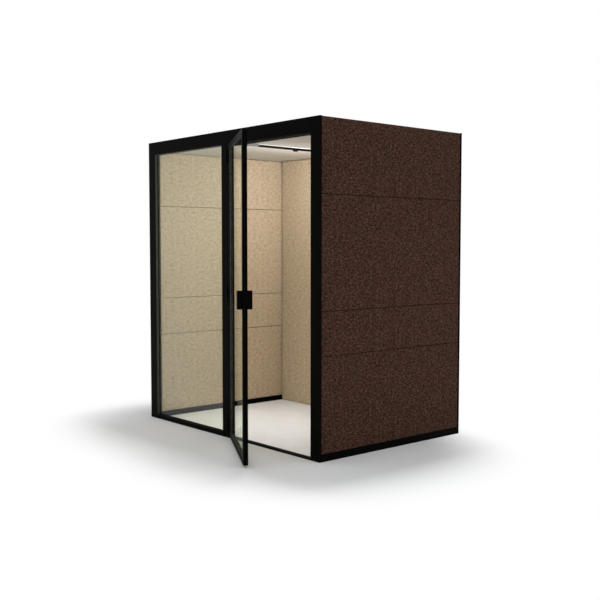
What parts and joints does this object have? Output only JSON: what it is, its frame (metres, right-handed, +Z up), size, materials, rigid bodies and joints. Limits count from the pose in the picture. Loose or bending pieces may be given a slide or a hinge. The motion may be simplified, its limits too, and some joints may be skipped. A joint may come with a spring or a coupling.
{
  "type": "walk-in acoustic booth",
  "caption": "Free-standing walk-in office booth with padded fabric walls, a black framed glass front, a hinged glass door, a ceiling light bar and a roof fan.",
  "frame": {"origin": "middle of the booth's footprint without the door, on the floor it stands on", "axes": "+X to the right as seen from the front, +Y to the back, +Z up"},
  "size_m": [2.045, 1.8531, 2.2],
  "materials": {
    "black_coat": "satin black powder coat",
    "brown_fabric": "dark brown flecked wool",
    "cream_fabric": "cream beige wool",
    "clear_glass": "clear laminated glass, faintly warm green",
    "board": "raw board, covered",
    "pale_floor": "pale satin floor covering",
    "ceiling_white": "matt off-white",
    "opal": "opal light diffuser",
    "grey_case": "mid grey",
    "black_plastic": "matt black",
    "black_rubber": "soft black seal"
  },
  "bodies": {
    "booth": {"floor_panel": "pale_floor", "plinth_left": "black_coat", "plinth_right": "black_coat", "plinth_back": "black_coat", "wall_core_left": "board", "wall_core_right": "board", "wall_core_back": "board", "back_trim_left": "black_coat", "back_trim_right": "black_coat", "left_outer_panel_bottom": "brown_fabric", "left_outer_panel_band": "brown_fabric", "left_outer_panel_middle": "brown_fabric", "left_outer_panel_top": "brown_fabric", "right_outer_panel_bottom": "brown_fabric", "right_outer_panel_band": "brown_fabric", "right_outer_panel_middle": "brown_fabric", "right_outer_panel_top": "brown_fabric", "back_outer_panel": "brown_fabric", "left_inner_panel_bottom": "cream_fabric", "left_inner_panel_band": "cream_fabric", "left_inner_panel_middle": "cream_fabric", "left_inner_panel_top": "cream_fabric", "right_inner_panel_bottom": "cream_fabric", "right_inner_panel_band": "cream_fabric", "right_inner_panel_middle": "cream_fabric", "right_inner_panel_top": "cream_fabric", "back_inner_panel": "cream_fabric", "front_post_left": "black_coat", "front_post_right": "black_coat", "front_head": "black_coat", "front_mullion": "black_coat", "front_sill": "black_coat", "door_threshold": "black_coat", "fixed_glass": "clear_glass", "door_stop": "black_coat", "door_seal": "black_rubber", "hinge_bottom_frame_leaf": "black_coat", "hinge_middle_frame_leaf": "black_coat", "hinge_top_frame_leaf": "black_coat", "ceiling_panel": "ceiling_white", "roof_panel": "black_coat", "light_channel": "black_coat", "light_diffuser": "opal", "light_driver": "grey_case", "presence_sensor": "black_plastic", "fan_housing": "black_plastic", "ceiling_grille": "black_coat", "roof_vent": "black_plastic"},
    "door": {"door_hinge_stile": "black_coat", "door_lock_stile": "black_coat", "door_top_rail": "black_coat", "door_bottom_rail": "black_coat", "door_glass": "clear_glass", "pull_outer": "black_coat", "pull_inner": "black_coat", "hinge_bottom_door_leaf": "black_coat", "hinge_middle_door_leaf": "black_coat", "hinge_top_door_leaf": "black_coat"},
    "fan": {"fan_rotor": "black_plastic"}
  },
  "joints": [
    {"name": "door_hinge", "type": "hinge", "parent": "booth", "child": "door", "pos_m": [0.045, -0.6987, 1.05], "axis": [0, 0, -1], "range_deg": [-30.5, 79.5]},
    {"name": "fan_spin", "type": "hinge", "parent": "booth", "child": "fan", "pos_m": [0.43, 0.21, 2.16], "axis": [0, 0, 1], "continuous": true}
  ]
}
